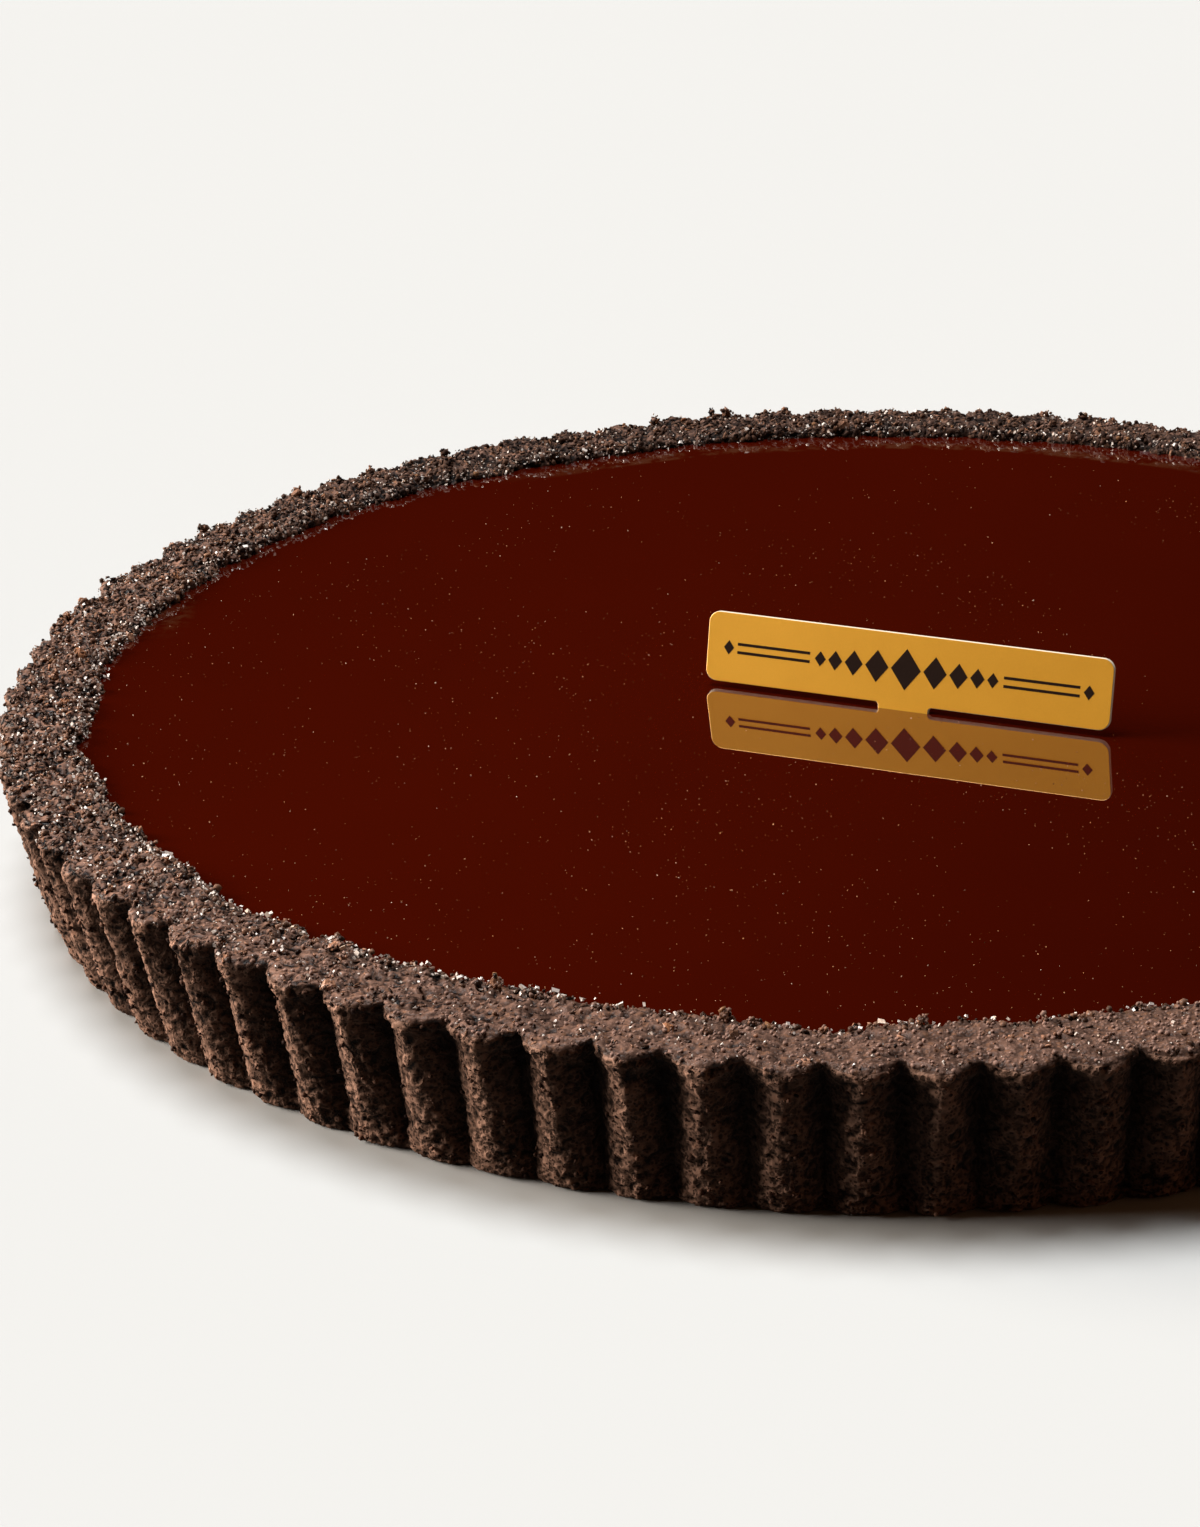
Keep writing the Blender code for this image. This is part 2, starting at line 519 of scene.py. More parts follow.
# Each grain's name, its dark, light and rusty colours, roughness and gloss.
RIM_GRAIN = GrainFinish(
    "rim_grain", (0.008, 0.003, 0.0015), (0.57, 0.290, 0.178), (0.25, 0.10, 0.04), 0.24, 0.12
)
FINE_GRAIN = GrainFinish(
    "fine_grain", (0.165, 0.097, 0.074), (0.300, 0.178, 0.139), (0.24, 0.10, 0.045), 0.35, 0.1
)
WALL_GRAIN = GrainFinish(
    "wall_grain", (0.010, 0.003, 0.0015), (0.370, 0.195, 0.132), (0.20, 0.07, 0.03), 0.6, 0.06
)
WET_GRAIN = GrainFinish(
    "wet_grain", (0.012, 0.004, 0.002), (0.36, 0.190, 0.120), (0.25, 0.12, 0.05), 0.3, 0.12
)
# Painted highlight: the sugar crystals are near white, so that they also stand for glints.
SUGAR_GLINT = GrainFinish(
    "sugar_glint_crystal", (0.50, 0.43, 0.38), (0.95, 0.92, 0.88), (0.60, 0.40, 0.25), 0.2, 0.5, False
)
SPECK = GrainFinish(
    "glaze_speck", (0.20, 0.07, 0.020), (0.60, 0.32, 0.13), (0.9, 0.78, 0.66), 0.5, 0.5, False
)
CARD_EDGE = PlainFinish("card_edge", (0.70, 0.64, 0.52), (0.58, 0.50, 0.36))
INK = PlainFinish("ornament_ink", (0.010, 0.0035, 0.0015), (0.016, 0.006, 0.003), 0.6, 0.1)


# ---- mesh tools


def make_piece(
    name: str,
    points: np.ndarray,
    faces: Sequence[np.ndarray],
    materials: Sequence[bpy.types.Material],
    smooth: bool = True,
    stored: dict[str, np.ndarray] | None = None,
) -> bpy.types.Object:
    """Makes a mesh object from arrays.

    Args:
        name: The piece's name.
        points: Its points, one row each.
        faces: Arrays of corner indices, one row a face, each array with one number of corners.
        materials: Its materials in slot order.
        smooth: Whether its faces are shaded smooth.
        stored: Numbers to keep at the points, by name.

    Returns:
        The object, linked to the scene.
    """
    faces = [np.asarray(f, np.int32) for f in faces]
    corners = np.concatenate([f.ravel() for f in faces])
    totals = np.concatenate([np.full(len(f), f.shape[1], np.int32) for f in faces])
    starts = np.concatenate([[0], np.cumsum(totals)[:-1]]).astype(np.int32)
    mesh = bpy.data.meshes.new(name)
    mesh.vertices.add(len(points))
    mesh.vertices.foreach_set("co", np.asarray(points, np.float32).ravel())
    mesh.loops.add(len(corners))
    mesh.loops.foreach_set("vertex_index", corners)
    mesh.polygons.add(len(starts))
    mesh.polygons.foreach_set("loop_start", starts)
    mesh.polygons.foreach_set("use_smooth", np.full(len(starts), smooth))
    for key, values in (stored or {}).items():
        layer = mesh.attributes.new(key, "FLOAT", "POINT")
        layer.data.foreach_set("value", np.asarray(values, np.float32))
    mesh.update(calc_edges=True)
    mesh.validate()
    for material in materials:
        mesh.materials.append(material)
    piece = bpy.data.objects.new(name, mesh)
    bpy.context.scene.collection.objects.link(piece)
    return piece


def ring_quads(first: int, second: int, count: int) -> np.ndarray:
    """Quads between two closed rows of points.

    Args:
        first: Index of the first row's first point.
        second: The same for the second row.
        count: How many points each row has.

    Returns:
        One row of four corners for each quad.
    """
    here = np.arange(count)
    there = (here + 1) % count
    return np.stack([first + here, first + there, second + there, second + here], axis=1)


def tube(rows: int, count: int, first: int = 0, flip: bool = False) -> list[np.ndarray]:
    """The faces of a stack of closed rows of points, with its two ends closed.

    Args:
        rows: How many rows there are.
        count: How many points each row has.
        first: Index of the first point.
        flip: Whether the faces turn the other way round.

    Returns:
        The sides, row by row, then the first end and the last.
    """
    starts = first + np.arange(rows) * count
    sides = np.concatenate([ring_quads(a, b, count) for a, b in zip(starts, starts[1:])])
    end = np.arange(count)[None]
    faces = [sides, end[:, ::-1] + starts[0], end + starts[-1]]
    return [f[:, ::-1] for f in faces] if flip else faces


def unit(vectors: np.ndarray) -> np.ndarray:
    """The vectors, each at length 1."""
    return vectors / np.linalg.norm(vectors, axis=1, keepdims=True)


def dress(piece: bpy.types.Object, node: str | None) -> None:
    """Ties a piece to the tart's one body, and reports it.

    Args:
        piece: The piece.
        node: The solid it stands for, if any.
    """
    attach(piece, "root")
    if node:
        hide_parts(node)
    triangles = sum(len(p.vertices) - 2 for p in piece.data.polygons)
    log.info("%s: %d triangles", piece.name, triangles)


# ---- crust


@dataclass
class RimEdge:
    """The ragged inner edge of the rim, which the chocolate meets."""

    radius: float = 0.1031
    slow: float = 0.9 * MM
    quick: float = 1.0 * MM
    notches: tuple[Span, ...] = ((-166.0, 1.9 * MM), (-92.0, 1.0 * MM), (141.0, 0.9 * MM))
    notch_width: float = math.radians(2.2)

    def at(self, angle: float) -> float:
        """The edge's radius in one direction."""
        near = Vector((math.cos(angle), math.sin(angle), 0.0))
        slow = noise.noise(near * 6.0)
        quick = noise.noise(near * 38.0 + Vector((0, 0, 5.0)))
        reach = self.radius + self.slow * slow + self.quick * quick
        for place, depth in self.notches:
            apart = math.remainder(angle - math.radians(place), math.tau) / self.notch_width
            reach += depth * math.exp(-apart * apart)
        return reach


class Column(IntEnum):
    """What the columns of the crust's section hold."""

    REACH = 0
    RISE = 1
    GROOVE = 2
    POWER = 3
    ROUGH = 4
    TOPNESS = 5


@dataclass
class Crust:
    """The fluted crust, swept round from its profile and then roughened into crumb."""

    flutes: int = 84
    flute_points: int = 24
    first_groove: float = math.radians(-135.663)
    foot_groove: float = 1.3 * MM
    deep_groove: float = 3.8 * MM
    deepest: float = 17.4 * MM
    scallop: float = 2.1 * MM
    lobe: float = 2.0
    deep_lobe: float = 1.35
    uneven: float = 0.10
    seed: int = 7
    foot_inset: float = 4.75 * MM
    foot_round: float = 0.9 * MM
    shoulder: float = 1.2 * MM
    lip: float = 0.8 * MM
    step: float = 0.33 * MM
    floor: float = 4.2 * MM
    floor_radius: float = 0.1004
    hub: float = 3.0 * MM
    relief: float = 0.40 * MM
    wall_relief: float = 0.62
    wall_coarse: float = 0.75
    crumb: float = 0.95 * MM
    pit: float = 1.5 * MM
    sag: float = 0.45 * MM
    roughest: float = math.radians(155)
    rim_starts: float = 0.3
    edge: RimEdge = field(default_factory=RimEdge)

    def __post_init__(self) -> None:
        """Reads the overall sizes from the frame."""
        self.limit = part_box("crust")[1][0] - 0.02 * MM
        self.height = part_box("crust")[1][2]
        self.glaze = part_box("filling")[1][2]
        self.radius = self.limit - 0.45 * MM
        self.count = self.flutes * self.flute_points

    def angles(self) -> np.ndarray:
        """The direction of each point of a row."""
        return self.first_groove + np.arange(self.count) / self.count * math.tau

    def profile(self) -> np.ndarray:
        """The section from under the foot to the floor inside, evenly spaced where it shows.

        Returns:
            Rows of radius at the crests, height, groove depth, the power that rounds the flutes,
            relief share, and how far up onto the rim the row is.
        """
        foot = self.radius - self.foot_inset
        top = self.height
        inner = self.edge.radius
        quarter = [math.radians(a) for a in range(0, 91, 15)]
        flare = (self.radius - foot) / (top - self.shoulder)
        groove, lobe, deep, turn = self.foot_groove, self.lobe, self.deep_lobe, self.foot_round
        corners = [
            (foot - turn, 0.0, groove, lobe, 0.3, 0),
            (foot - 0.3 * turn, 0.3 * turn, groove, lobe, 0.5, 0),
            (foot, turn, groove, lobe, self.wall_relief, 0),
        ]
        for share in (0.25, 0.6, 1.0):
            rise = share * self.deepest
            groove = self.foot_groove + (self.deep_groove - self.foot_groove) * share**0.6
            power = lobe + (deep - lobe) * share**2
            corners.append((foot + flare * rise, rise, groove, power, self.wall_relief, 0))
        for a in quarter:
            reach = self.radius - self.shoulder * (1 - math.cos(a))
            rise = top - self.shoulder * (1 - math.sin(a))
            under = 0.4 * math.cos(a) ** 2
            groove = self.scallop + (self.deep_groove - self.scallop) * under
            power = lobe + (deep - lobe) * under
            corners.append((reach, rise, groove, power, 1.0, a / quarter[-1]))
        crown = self.radius - self.shoulder
        corners += [
            (crown - 1.2 * MM, top, 0.7 * self.scallop, lobe, 1.0, 1),
            (crown - 3.5 * MM, top + 0.1 * MM, 0.2 * self.scallop, lobe, 1.0, 1),
            (crown - 5.5 * MM, top, 0.0, lobe, 1.1, 1),
            (inner + 2.0 * self.lip, top - 0.1 * MM, 0, lobe, 1.3, 1),
        ]
        for a in quarter[1:]:
            reach = inner + self.lip * (1 - math.sin(a))
            rise = top - 0.1 * MM - self.lip * (1 - math.cos(a))
            corners.append((reach, rise, 0, lobe, 1.3, 1))
        corners.append((inner - 0.1 * MM, self.glaze - 0.3 * MM, 0, lobe, 0.6, 1))
        corners.append((inner - 0.2 * MM, self.glaze - 1.2 * MM, 0, lobe, 0.0, 1))
        corners = np.array(corners)
        runs = np.hypot(*np.diff(corners[:, :2], axis=0).T)
        along = np.concatenate([[0], np.cumsum(runs)])
        wanted = np.linspace(0, along[-1], int(along[-1] / self.step))
        shown = np.stack([np.interp(wanted, along, c) for c in corners.T], axis=1)
        under = [
            (r * (foot - turn), 0.0, r * self.foot_groove, lobe, 0.3 * r, 0)
            for r in (0.02, 0.5, 0.93)
        ]
        hidden = [(r, self.floor, 0, lobe, 0, 1) for r in (self.floor_radius, self.hub)]
        return np.concatenate([under, shown, hidden])

    def swept(self, profile: np.ndarray) -> tuple[np.ndarray, np.ndarray, np.ndarray]:
        """Sweeps the section round, fluted and ragged but still smooth.

        Args:
            profile: The section.

        Returns:
            The points and normals, each row of the section going round, and how far each point
            is recessed between the flutes.
        """
        angle = self.angles()
        share = (np.arange(self.count) % self.flute_points) / self.flute_points
        from_crest = np.abs(2 * share - 1)
        flute = np.arange(self.count) // self.flute_points
        rng = np.random.default_rng(self.seed)
        uneven = (1 + self.uneven * rng.standard_normal(self.flutes))[flute]
        edge = np.array([self.edge.at(a) for a in angle]) - self.edge.radius
        reach, rise, depth, power = (profile[:, k, None] for k in range(4))
        recess = uneven * depth * from_crest**power
        edge_share = np.clip((self.radius - reach) / (self.radius - self.edge.radius), 0, 1) ** 3
        edge_share = np.where(rise > 0.5 * self.height, edge_share, 0)
        radius = reach - recess + edge_share * edge
        rise = np.broadcast_to(rise, radius.shape)
        points = np.stack([radius * np.cos(angle), radius * np.sin(angle), rise], axis=2)
        around = np.roll(points, -1, 1) - np.roll(points, 1, 1)
        normals = np.cross(around, np.gradient(points, axis=0))
        normals /= np.maximum(np.linalg.norm(normals, axis=2, keepdims=True), 1e-12)
        return points, normals, recess

    def build(self, wall: CrumbFinish, rim: CrumbFinish) -> "Surface":
        """Makes the crust.

        Args:
            wall: The finish of its side and underside.
            rim: The finish of its top.

        Returns:
            Its surface, on which grains are laid.
        """
        profile = self.profile()
        rows = len(profile)
        points, normals, recess = self.swept(profile)
        rough, topness = profile[:, Column.ROUGH, None], profile[:, Column.TOPNESS, None]
        coarse = np.clip(0.55 + 0.75 * np.cos(self.angles() - self.roughest), 0, 1)
        coarse = np.where(topness > self.rim_starts, coarse, self.wall_coarse)
        rough = rough * (0.5 + 0.75 * coarse)
        height, swell = self.crumb_heights(points.reshape(-1, 3), rough.ravel())
        height = height.reshape(rows, self.count)
        moved = points + normals * (height * rough * self.relief)[..., None]
        moved[:, :, 2] += swell.reshape(rows, self.count) * topness * rough * self.sag
        moved = self.kept_inside(moved.reshape(-1, 3))
        low, high = np.percentile(height[rough > 0.5], (6, 94))
        # Painted shade: points deep in the grooves between the flutes are stored as less open and
        # with a groove share, and the crumb's colour turns darker by both; less open points also
        # take fewer grains.
        hollow = 1 - 0.95 * np.clip(recess / self.deep_groove, 0, 1) ** 0.8 * (1 - topness)
        openness = (np.clip((height - low) / (high - low), 0, 1) * hollow).ravel()
        groove = np.clip(recess / (0.75 * self.deep_groove), 0, 1) * (1 - topness)
        stored = {"height": openness, "coarse": coarse.ravel(), "groove": groove.ravel()}
        finishes = [wall.build(), rim.build()]
        faces = tube(rows, self.count)
        piece = make_piece("crust_crumb", moved, faces, finishes, True, stored)
        row_top = (topness[:-1, 0] > self.rim_starts).astype(np.int32)
        slots = np.concatenate([np.repeat(row_top, self.count), [0, 1]])
        piece.data.polygons.foreach_set("material_index", slots)
        dress(piece, "crust")
        section = np.repeat(profile, self.count, axis=0)
        return Surface(moved, normals.reshape(-1, 3), section, openness)

    def crumb_heights(self, points: np.ndarray, rough: np.ndarray) -> tuple[np.ndarray, np.ndarray]:
        """How far the crumb stands out at each point, about -1 to 1, and how the rim swells.

        Args:
            points: The smooth crust's points.
            rough: How much relief each point takes; where it takes none, none is worked out.

        Returns:
            One height and one slow swell a point.
        """
        heights = np.zeros(len(points))
        swells = np.zeros(len(points))
        for i in np.nonzero(rough > 0)[0]:
            place = Vector(points[i])
            near = noise.voronoi(place / self.crumb)[0]
            pebble = 1 - min(near[0] / 0.7, 1.0) ** 2
            apart, centres = noise.voronoi(place / self.pit)
            open_pit = noise.cell(centres[0] * 7.3) > 0.25
            pit = max(0.0, 1 - (apart[0] / 0.42) ** 2) if open_pit else 0.0
            lump = noise.noise(place / (3.2 * MM))
            fine = noise.noise(place / (0.7 * MM))
            depth = 1.9 * min(1.0, rough[i]) ** 2
            heights[i] = 1.0 * (pebble - 0.5) + 0.6 * lump + 0.35 * fine - depth * pit
            swells[i] = noise.noise(place / (11 * MM)) + 0.6 * noise.noise(place / (4.5 * MM))
        return heights, swells

    def kept_inside(self, points: np.ndarray) -> np.ndarray:
        """The points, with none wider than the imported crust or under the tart's foot."""
        reach = np.maximum(np.hypot(points[:, 0], points[:, 1]), 1e-9)
        kept = points.copy()
        kept[:, :2] *= np.minimum(1.0, self.limit / reach)[:, None]
        kept[:, 2] = np.maximum(kept[:, 2], 0.0)
        return kept


# ---- grains


class GrainShape(Enum):
    """The shapes that loose grains are made from."""

    ROD = "rod"
    CRYSTAL = "crystal"
    PEBBLE = "pebble"
    LUMP = "lump"

    def mesh(self) -> tuple[np.ndarray, np.ndarray]:
        """A solid about 1 in radius, longest along X: its points and its triangles."""
        if self in (GrainShape.PEBBLE, GrainShape.LUMP):
            bm = bmesh.new()
            fineness = 1 if self is GrainShape.PEBBLE else 2
            bmesh.ops.create_icosphere(bm, subdivisions=fineness, radius=1)
            points = np.array([v.co[:] for v in bm.verts])
            faces = np.array([[v.index for v in f.verts] for f in bm.faces])
            bm.free()
            return points, faces
        ends = 0.55 if self is GrainShape.ROD else 0.9
        turns = [math.radians(a) for a in (90, 210, 330)]
        points = [(x, math.cos(a), math.sin(a)) for x in (-ends, ends) for a in turns]
        faces = []
        for i in range(3):
            j = (i + 1) % 3
            faces += [(i, j, j + 3), (i, j + 3, i + 3)]
        if self is GrainShape.CRYSTAL:
            faces += [(0, 2, 1), (3, 4, 5)]
            return np.array(points), np.array(faces)
        points += [(-1.0, 0.8, 0.0), (1.0, 0.8, 0.0)]
        for i in range(3):
            j = (i + 1) % 3
            faces += [(6, j, i), (7, i + 3, j + 3)]
        return np.array(points), np.array(faces)


@dataclass(frozen=True)
class Grains:
    """One kind of loose grain, and how such grains lie.

    Attributes:
        length: The least and the greatest half length.
        count: How many there are.
        seed: The seed of their places and unevenness.
        slim: Half a grain's width, as a share of its half length.
        lift: How far off the surface its middle is, in half widths.
        tilt: How much grains tip out of the surface.
        flat: The height as a share of the width.
    """

    name: str
    finish: GrainFinish
    shape: GrainShape
    length: Span
    count: int
    seed: int
    slim: float
    lift: float
    tilt: float = 0.35
    flat: float = 1.0
    smooth: bool = False
    slot: str = "cocoa_crumb"

    def lay(
        self,
        places: np.ndarray,
        normals: np.ndarray,
        rng: np.random.Generator,
        openness: np.ndarray | None = None,
        limit: Crust | None = None,
    ) -> tuple[np.ndarray, np.ndarray]:
        """Makes one mesh of uneven grains that lie on a surface.

        Args:
            places: Points of the surface.
            normals: The surface's normals there.
            rng: The source of the grains' unevenness.
            openness: How far each place is out of a hollow, 0 to 1; grains in one are painted
                darker, as painted shade.
            limit: The crust whose size the grains keep within, if any.

        Returns:
            The grains' points, and the middle of the grain that each belongs to.
        """
        base, triangles = self.shape.mesh()
        count = len(places)
        along = unit(np.cross(normals, rng.normal(size=(count, 3))))
        along = unit(along + normals * rng.normal(0, self.tilt, (count, 1)))
        across = unit(np.cross(normals, along))
        spin = rng.uniform(0, math.tau, (count, 1))
        up = np.cross(along, across)
        across, up = (
            across * np.cos(spin) + up * np.sin(spin),
            up * np.cos(spin) - across * np.sin(spin),
        )
        least, greatest = self.length
        half = least + (greatest - least) * rng.random(count) ** 2.0
        body = base[None] * rng.uniform(0.72, 1.22, (count, len(base), 1))
        sizes = half[:, None] * np.array([1, self.slim, self.slim * self.flat])
        sizes = sizes * rng.uniform((0.8, 0.7, 0.7), (1.1, 1.3, 1.3), (count, 3))
        body = body * sizes[:, None, :]
        turn = np.stack([along, across, up], axis=1)
        body = np.einsum("nkc,ncx->nkx", body, turn)
        middles = places + normals * (sizes[:, 1] * self.lift)[:, None]
        points = (body + middles[:, None]).reshape(-1, 3)
        if limit:
            points = limit.kept_inside(points)
        faces = (triangles[None] + (np.arange(count) * len(base))[:, None, None]).reshape(-1, 3)
        tone = rng.random(count)
        # Painted shade: grains that lie in hollows get a darker tone.
        if openness is not None:
            tone = tone * (0.2 + 0.8 * np.clip(openness, 0, 1))
        stored = {"tone": np.repeat(tone, len(base))}
        piece = make_piece(self.name, points, [faces], [self.finish.build()], self.smooth, stored)
        dress(piece, None)
        return points, middles.repeat(len(base), axis=0)


@dataclass
class Surface:
    """The crust's points with their normals, section rows and openness, to lay grains on."""

    points: np.ndarray
    normals: np.ndarray
    section: np.ndarray
    openness: np.ndarray
    jitter: float = 0.12 * MM

    def rim(self, topness: float, rough: float) -> np.ndarray:
        """Which points are farther up onto the rim, and rougher, than these."""
        high = self.section[:, Column.TOPNESS] > topness
        return high & (self.section[:, Column.ROUGH] > rough)

    def nearest(self, among: np.ndarray, angle: float, radius: float) -> int:
        """Which of some points is nearest to a place, seen from above."""
        spot = np.array([radius * math.cos(angle), radius * math.sin(angle)])
        return among[np.argmin(np.linalg.norm(self.points[among, :2] - spot, axis=1))]

    def spread(self, grains: Grains, weight: np.ndarray, crust: Crust) -> None:
        """Lays grains of one kind at random.

        Args:
            grains: The kind of grain.
            weight: How likely each point of the surface is to bear one.
            crust: The crust whose size they keep within.
        """
        rng = np.random.default_rng(grains.seed)
        chosen = rng.choice(len(self.points), grains.count, p=weight / weight.sum())
        places = self.points[chosen] + rng.normal(0, self.jitter, (grains.count, 3))
        grains.lay(places, self.normals[chosen], rng, self.openness[chosen], crust)

    def cover(self, points: np.ndarray, middles: np.ndarray, row: int) -> None:
        """Adds the outsides of lumps to the surface, so that finer grains lie on them too.

        Args:
            points: Points on the lumps.
            middles: The middle of the lump that each belongs to.
            row: A point of the surface whose section row they take.
        """
        self.points = np.concatenate([self.points, points])
        self.normals = np.concatenate([self.normals, unit(points - middles)])
        extra = np.repeat(self.section[row : row + 1], len(points), axis=0)
        self.section = np.concatenate([self.section, extra])
        self.openness = np.concatenate([self.openness, np.full(len(points), 2.0)])


@dataclass(frozen=True)
class Lumps:
    """Larger crumbs that stuck together, some of them standing proud of the rim.

    Attributes:
        proud: The direction in degrees and the radius in mm of each that stands proud.
        raised: How much higher those stand.
    """

    grains: Grains = Grains(
        "lumps", RIM_GRAIN, GrainShape.LUMP, (0.5 * MM, 1.1 * MM), 230, 31, slim=0.75, lift=0.0
    )
    proud: tuple[Span, ...] = (
        (108.0, 113.3), (103.0, 113.5), (102.0, 112.4), (150.0, 113.3), (169.7, 113.5),
        (126.0, 113.2), (-93.0, 104.3), (-91.0, 104.5), (-111.0, 104.2), (-113.5, 104.0),
        (-107.0, 104.1), (-98.8, 104.0), (-97.2, 104.2), (-87.2, 104.0), (-80.0, 104.1),
        (-74.0, 104.0), (-69.5, 104.2),
    )
    raised: float = 0.4 * MM

    def build(self, surface: Surface, crust: Crust) -> None:
        """Lays the lumps on the rim, most of them at the back left.

        Args:
            surface: The crust's surface, which the lumps become part of.
            crust: The crust.
        """
        rng = np.random.default_rng(self.grains.seed)
        count = self.grains.count
        shown = surface.rim(0.8, 0.9)
        left = 1.3 - surface.points[:, 0] / 0.1 * 0.5 + surface.points[:, 1] / 0.1 * 0.5
        weight = shown * np.clip(left, 0.1, 3.0)
        chosen = list(rng.choice(len(weight), count, p=weight / weight.sum()))
        rim = np.nonzero(shown)[0]
        chosen += [surface.nearest(rim, math.radians(a), radius * MM) for a, radius in self.proud]
        places = surface.points[chosen]
        places[count:, 2] += self.raised
        points, middles = self.grains.lay(places, surface.normals[chosen], rng, limit=crust)
        surface.cover(points, middles, int(rim[0]))


@dataclass(frozen=True)
class LooseGrains:
    """The crumbs and sugar crystals that lie all over the crust; the crystals are white so that
    they also stand for glints, as painted highlight.

    Attributes:
        edge_band: How far from the rim's inner edge the chocolate has wetted the crumb.
        in_hollows: How likely a grain is to lie at the bottom of a hollow.
    """

    rods: Grains = Grains(
        "rim_crumbs", RIM_GRAIN, GrainShape.ROD, (0.26 * MM, 0.62 * MM), 8500, 1,
        slim=0.38, lift=0.1, tilt=0.12, smooth=True,
    )
    pebbles: Grains = Grains(
        "rim_pebbles", FINE_GRAIN, GrainShape.PEBBLE, (0.17 * MM, 0.40 * MM), 8000, 5,
        slim=0.8, lift=-0.1, smooth=True,
    )
    wall: Grains = Grains(
        "wall_crumbs", WALL_GRAIN, GrainShape.PEBBLE, (0.17 * MM, 0.45 * MM), 4500, 3,
        slim=0.8, lift=0.0, smooth=True,
    )
    wetted: Grains = Grains(
        "edge_crumbs", WET_GRAIN, GrainShape.PEBBLE, (0.25 * MM, 0.62 * MM), 4200, 2,
        slim=0.7, lift=0.3, smooth=True,
    )
    # Painted highlight as well as sugar: these white crystals also stand for glints.
    sugar: Grains = Grains(
        "sugar_glint_grains", SUGAR_GLINT, GrainShape.CRYSTAL, (0.10 * MM, 0.26 * MM), 4800, 4,
        slim=0.75, lift=2.0, tilt=1.0,
    )
    edge_band: float = 1.9 * MM
    in_hollows: float = 0.12

    def build(self, surface: Surface, crust: Crust) -> None:
        """Lays them kind by kind: the rim is coarse at its back left, and fine opposite.

        Args:
            surface: The crust's surface, with the lumps.
            crust: The crust.
        """
        top = surface.rim(0.45, 0.7)
        wall = surface.section[:, Column.TOPNESS] <= 0.45
        wall = wall & (surface.section[:, Column.ROUGH] > 0.6)
        inner = crust.edge.radius
        near_edge = top & (surface.section[:, Column.REACH] < inner + self.edge_band)
        showing = self.in_hollows + surface.openness
        right, back = surface.points[:, 0] / inner, surface.points[:, 1] / inner
        coarse = np.clip(0.5 + 0.6 * back - 0.7 * right, 0.08, 1.0)
        sugar_glint_weight = (0.1 + coarse**1.5) * (1.15 - 0.65 * back)
        surface.spread(self.rods, top * showing * coarse, crust)
        surface.spread(self.pebbles, top * showing * (1.15 - coarse), crust)
        surface.spread(self.wall, wall * surface.openness**2, crust)
        surface.spread(self.wetted, (near_edge + 0.35 * top * coarse) * showing, crust)
        surface.spread(self.sugar, top * sugar_glint_weight * (1.0 + 2.5 * near_edge), crust)


@dataclass(frozen=True)
class EdgeSugarGlints:
    """Larger sugar crystals, white so that they also stand for glints as painted highlight, that
    stand on the rim's inner edge, thickest at its front left.

    Attributes:
        raised: How far above the rim they are laid.
        clustered: The share of them that stand in the clusters.
        clusters: The clusters' directions in degrees.
        cluster_width: How wide a cluster is, in degrees.
        band: How far out from the edge they stand, in mm.
    """

    grains: Grains = Grains(
        "edge_sugar_glints", SUGAR_GLINT, GrainShape.CRYSTAL, (0.18 * MM, 0.50 * MM), 170, 41,
        slim=0.66, lift=0.8, tilt=0.5,
    )
    raised: float = 0.25 * MM
    clustered: float = 0.3
    clusters: tuple[float, ...] = (-143.0, -134.0, -126.0, -119.0, -112.0, -108.0)
    cluster_width: float = 2.2
    band: Span = (0.1, 1.6)

    def build(self, surface: Surface, edge: RimEdge) -> None:
        """Lays the crystals.

        Args:
            surface: The crust's surface.
            edge: The rim's inner edge.
        """
        rng = np.random.default_rng(self.grains.seed)
        rim = np.nonzero(surface.rim(0.9, 0.9))[0]
        chosen = []
        for i in range(self.grains.count):
            angle = rng.uniform(-180, 180)
            if i < self.clustered * self.grains.count:
                angle = self.clusters[i % len(self.clusters)] + rng.normal(0, self.cluster_width)
            angle = math.radians(angle)
            reach = edge.at(angle) + rng.uniform(*self.band) * MM
            chosen.append(surface.nearest(rim, angle, reach))
        places = surface.points[chosen] + np.array([0, 0, self.raised])
        self.grains.lay(places, surface.normals[chosen], rng)


# ---- filling


@dataclass
class Filling:
    """The chocolate: a flat mirror that creeps up a little where it meets the crumb."""

    edge: RimEdge
    points_round: int = 504
    creep: float = 0.08 * MM
    creep_width: float = 0.9 * MM
    tuck: float = 0.7 * MM
    skirt: float = 0.6 * MM
    bottom_radius: float = 0.1004
    hub: float = 4.0 * MM

    def build(self, finish: ChocolateFinish) -> None:
        """Makes the filling.

        Args:
            finish: Its finish.
        """
        bottom, level = (corner[2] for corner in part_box("filling"))
        angle = np.arange(self.points_round) / self.points_round * math.tau
        edge = np.array([self.edge.at(a) for a in angle])
        rows = [(np.full_like(edge, self.hub), level)]
        for share in (0.25, 0.5, 0.75, 0.92):
            rows.append((share * (edge - self.creep_width), level))
        for step in np.linspace(0, 1, 7):
            rows.append((edge - self.creep_width * (1 - step), level + self.creep * step**2.2))
        rows += [
            (edge + self.tuck, level + self.creep),
            (edge + self.tuck, level - self.skirt),
            (np.full_like(edge, self.bottom_radius), bottom),
            (np.full_like(edge, self.hub), bottom),
        ]
        points = [
            np.stack([r * np.cos(angle), r * np.sin(angle), np.full_like(r, z)], axis=1)
            for r, z in rows
        ]
        faces = tube(len(rows), self.points_round, flip=True)
        piece = make_piece("chocolate_filling", np.concatenate(points), faces, [finish.build()])
        dress(piece, "filling")


